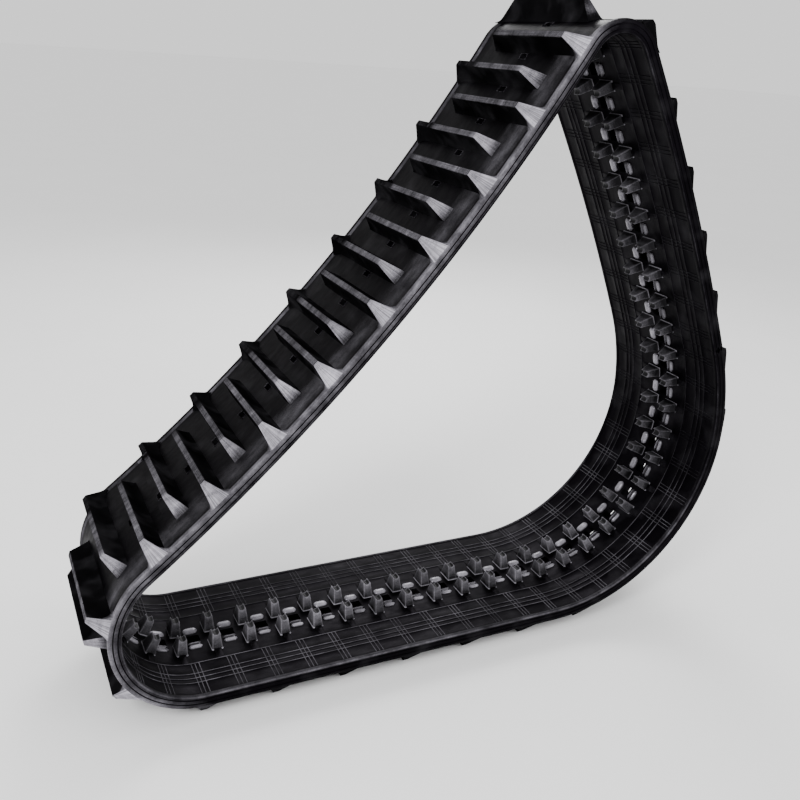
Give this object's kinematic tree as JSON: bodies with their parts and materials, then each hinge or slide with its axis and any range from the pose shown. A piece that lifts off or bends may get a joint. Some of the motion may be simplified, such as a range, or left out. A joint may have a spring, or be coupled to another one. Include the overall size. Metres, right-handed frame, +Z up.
{
  "type": "rubber track",
  "caption": "Endless rubber crawler track standing as a rounded triangular loop, with alternating cross lugs outside and paired guide horns inside.",
  "frame": {"origin": "on the ground, under the middle of the loop's length and the middle of the belt's width", "axes": "+X along the bottom run towards the large front bend, +Y across the belt to its left edge, +Z up"},
  "size_m": [1.7824, 0.45, 1.648],
  "materials": {
    "carcass_rubber": "satin black",
    "tread_rubber": "glossy black with grey edge",
    "lug_rubber": "dusty grey black",
    "horn_rubber": "worn grey",
    "pad_rubber": "glossy",
    "core_iron": "rough cast",
    "cord_steel": "drawn wire",
    "ply_fabric": "woven"
  },
  "bodies": {
    "bottom_section": {"inner_cover_bottom": "carcass_rubber", "tread_cover_bottom": "tread_rubber", "fabric_ply_bottom": "ply_fabric", "steel_cords_left_bottom": "cord_steel", "steel_cords_right_bottom": "cord_steel", "core_bars_bottom": "core_iron", "horn_caps_bottom": "horn_rubber", "link_pads_bottom": "pad_rubber", "lugs_left_bottom": "lug_rubber", "lugs_right_bottom": "lug_rubber"},
    "front_section": {"inner_cover_front": "carcass_rubber", "tread_cover_front": "tread_rubber", "fabric_ply_front": "ply_fabric", "steel_cords_left_front": "cord_steel", "steel_cords_right_front": "cord_steel", "core_bars_front": "core_iron", "horn_caps_front": "horn_rubber", "link_pads_front": "pad_rubber", "lugs_left_front": "lug_rubber", "lugs_right_front": "lug_rubber"},
    "top_section": {"inner_cover_top": "carcass_rubber", "tread_cover_top": "tread_rubber", "fabric_ply_top": "ply_fabric", "steel_cords_left_top": "cord_steel", "steel_cords_right_top": "cord_steel", "core_bars_top": "core_iron", "horn_caps_top": "horn_rubber", "link_pads_top": "pad_rubber", "lugs_left_top": "lug_rubber", "lugs_right_top": "lug_rubber"},
    "rear_section": {"inner_cover_rear": "carcass_rubber", "tread_cover_rear": "tread_rubber", "fabric_ply_rear": "ply_fabric", "steel_cords_left_rear": "cord_steel", "steel_cords_right_rear": "cord_steel", "core_bars_rear": "core_iron", "horn_caps_rear": "horn_rubber", "link_pads_rear": "pad_rubber", "lugs_left_rear": "lug_rubber", "lugs_right_rear": "lug_rubber"}
  },
  "joints": [
    {"name": "rear_flex", "type": "hinge", "parent": "bottom_section", "child": "rear_section", "pos_m": [-0.76209, 0, 0.10448], "axis": [0, 1, 0], "range_deg": [-10, 10], "stiffness_Nm_per_rad": 3000, "springref_deg": -2.86},
    {"name": "top_flex", "type": "hinge", "parent": "rear_section", "child": "top_section", "pos_m": [-0.30523, 0, 0.85398], "axis": [0, 1, 0], "range_deg": [-10, 10], "stiffness_Nm_per_rad": 3000, "springref_deg": 2.86},
    {"name": "front_flex", "type": "hinge", "parent": "bottom_section", "child": "front_section", "pos_m": [0.30767, 0, 0.06], "axis": [0, 1, 0], "range_deg": [-10, 10], "stiffness_Nm_per_rad": 3000, "springref_deg": -2.86}
  ],
  "couplings": [
    {"joint": "top_flex", "follows": "rear_flex", "ratio": -1},
    {"joint": "front_flex", "follows": "rear_flex", "ratio": 1}
  ]
}
